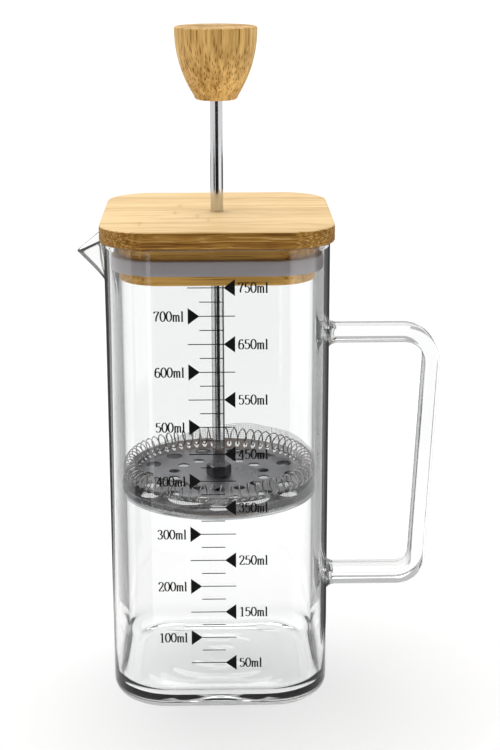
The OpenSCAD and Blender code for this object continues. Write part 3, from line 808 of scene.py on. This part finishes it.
# The floor is woven of wires along X and along Y. A wire that meets the rod stops at the hole on each side
# of it, so it is laid as two.
at = np.arange(-45, 46) * FLOOR_PITCH
at = at[np.abs(at) < MESH_R - 0.4]
reach = np.sqrt((MESH_R - 0.1) ** 2 - at ** 2)
t = np.linspace(-1, 1, 81)[None, :]
hole = np.sqrt(np.clip(HUB_R ** 2 - at ** 2, 0, None))
cut = hole > 0
offset = np.concatenate([at[~cut], at[cut], at[cut]])
near = np.concatenate([-reach[~cut], -reach[cut], hole[cut]])
far = np.concatenate([reach[~cut], -hole[cut], reach[cut]])
along_x = near[:, None] + (far - near)[:, None] * (t + 1) / 2
over = weave(along_x / FLOOR_PITCH, (offset / FLOOR_PITCH)[:, None])
across_y = np.broadcast_to(offset[:, None], over.shape)
up = np.array([0.0, 0.0, 1.0])
one = np.stack([along_x, across_y, MESH_LOW + 0.05 + over], -1)
two = np.stack([across_y, along_x, MESH_LOW + 0.05 - over], -1)
grid_c = wires(one, np.broadcast_to(up, one.shape))
grid_d = wires(two, np.broadcast_to(up, two.shape))
faces = wire_faces(grid_c, 0, False) + wire_faces(grid_d, grid_c.size // 3, False)
points = np.vstack([grid_c.reshape(-1, 3), grid_d.reshape(-1, 3)])
mesh_floor = piece_from("woven_mesh_floor", points, faces, 80)
# The woven wire is a dark grey, much darker than the rod's steel: painted shade for the cloth lying in
# shade inside the jar.
shaded_cloth_steel = steel("woven_wire_steel", (0.25, 0.25, 0.26), 0.2, 0.35, (900, 900, 900), 0.05)
for piece in (mesh_wall, mesh_floor):
    piece.data.materials.append(shaded_cloth_steel)
    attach(piece, "plunger")
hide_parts("mesh_screen")
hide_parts("mesh_screen")


# ---------------------------------------------------------------- Studio
# A pale table top, an even white surround, one large soft light overhead, and dark cards and reflectors
# on the table round the glass. They show only in reflections, where they draw the glass's edges.

PANES, CARD_Z, TABLE_Z, TABLE_HALF = 12, 0.4, -0.15, 6000


def finish_card(name, glow, once):
    """A card's finish: a plain glow that shows only to light that has bounced off something shiny, so the
    card is never seen straight through the glass. once limits it to light that has bounced one time."""
    made, tree, shader, add = new_finish(name)
    out = tree.nodes["Material Output"]
    tree.nodes.remove(shader)
    light = add("Emission", {"Color": (glow, glow, glow, 1), "Strength": 1.0}).outputs[0]
    bounced = add("LightPath").outputs["Glossy Depth"]
    test = {0: bounced, 1: 1.0, 2: 0.5} if once else {0: bounced, 1: 0.5}
    seen = add("Math", test, operation="COMPARE" if once else "GREATER_THAN").outputs[0]
    light = add("MixShader", {0: seen, 1: add("BsdfTransparent").outputs[0], 2: light}).outputs[0]
    tree.links.new(light, out.inputs["Surface"])
    made.cycles.emission_sampling = "NONE"
    return made


def card(name, a0, a1, glow, near, far, rise=0.0, once=False):
    """A card between two bearings, in degrees from straight behind towards +X, and two distances from the
    middle. It lies just over the table. rise lifts its far edge, so with one distance it is a low wall."""
    a = np.radians(np.linspace(a0, a1, PANES + 1))[None, :]
    r = np.array([near, far])[:, None]
    points = np.stack([r * np.sin(a), r * np.cos(a), a * 0 + [[CARD_Z], [CARD_Z + rise]]], -1)
    k = np.arange(PANES)[:, None]
    made = piece_from(name, points.reshape(-1, 3), (k + [0, 1, PANES + 2, PANES + 1]).tolist(), 30)
    made.data.materials.append(finish_card(name + "_face", glow, once))
    made.visible_camera = made.visible_diffuse = made.visible_shadow = False


card("front_card", 146, 202, 0.02, 240, 3200, once=True)
card("front_riser", 144, 204, 0.95, 236, 236, rise=12)
card("rear_card", -46, 84, 0.12, 62, 1400)
card("reflector_left", -56, -118, 1.05, 110, 1400)
card("left_card", -118, -150, 0.1, 110, 1400)
card("reflector_right", 88, 140, 1.4, 110, 1400)

table_ends = np.array([[-1, -1], [1, -1], [1, 1], [-1, 1]]) * TABLE_HALF
table = piece_from("table_top", np.insert(table_ends.astype(float), 2, TABLE_Z, axis=1), [[0, 1, 2, 3]], 30)
pale, tree, shader, add = new_finish("pale_table")
where = add("TexCoord").outputs["Object"]
mottle = add("TexNoise", {"Vector": where, "Scale": 9.0, "Detail": 2.0}).outputs[0]
tree.links.new(ramp(add, mottle, [(0.3, (0.925,) * 3), (0.7, (0.935,) * 3)]), shader.inputs["Base Color"])
shader.inputs["Roughness"].default_value = 0.7
shader.inputs["Specular IOR Level"].default_value = 0.2
table.data.materials.append(pale)

world = bpy.data.worlds.new("studio")
world.use_nodes = True
world.node_tree.nodes["Background"].inputs["Color"].default_value = (1.0, 1.0, 1.0, 1)
world.node_tree.nodes["Background"].inputs["Strength"].default_value = 0.5
bpy.context.scene.world = world

sky = bpy.data.lights.new("overhead_diffuser", "SUN")
sky.energy, sky.angle = 2.35, math.radians(75)
overhead = bpy.data.objects.new("overhead_diffuser", sky)
overhead.rotation_euler = (math.radians(-22), math.radians(-10), 0)
bpy.context.scene.collection.objects.link(overhead)

lens = bpy.data.cameras.new("camera")
lens.sensor_width = 36
lens.lens = 79.3
camera = bpy.data.objects.new("camera", lens)
camera.location = (0.00033, -0.5802, 0.27809)
camera.rotation_euler = (math.radians(90) - 0.274, 0.002, -0.020)
bpy.context.scene.collection.objects.link(camera)
bpy.context.scene.camera = camera
bpy.context.scene.view_settings.view_transform = "Standard"
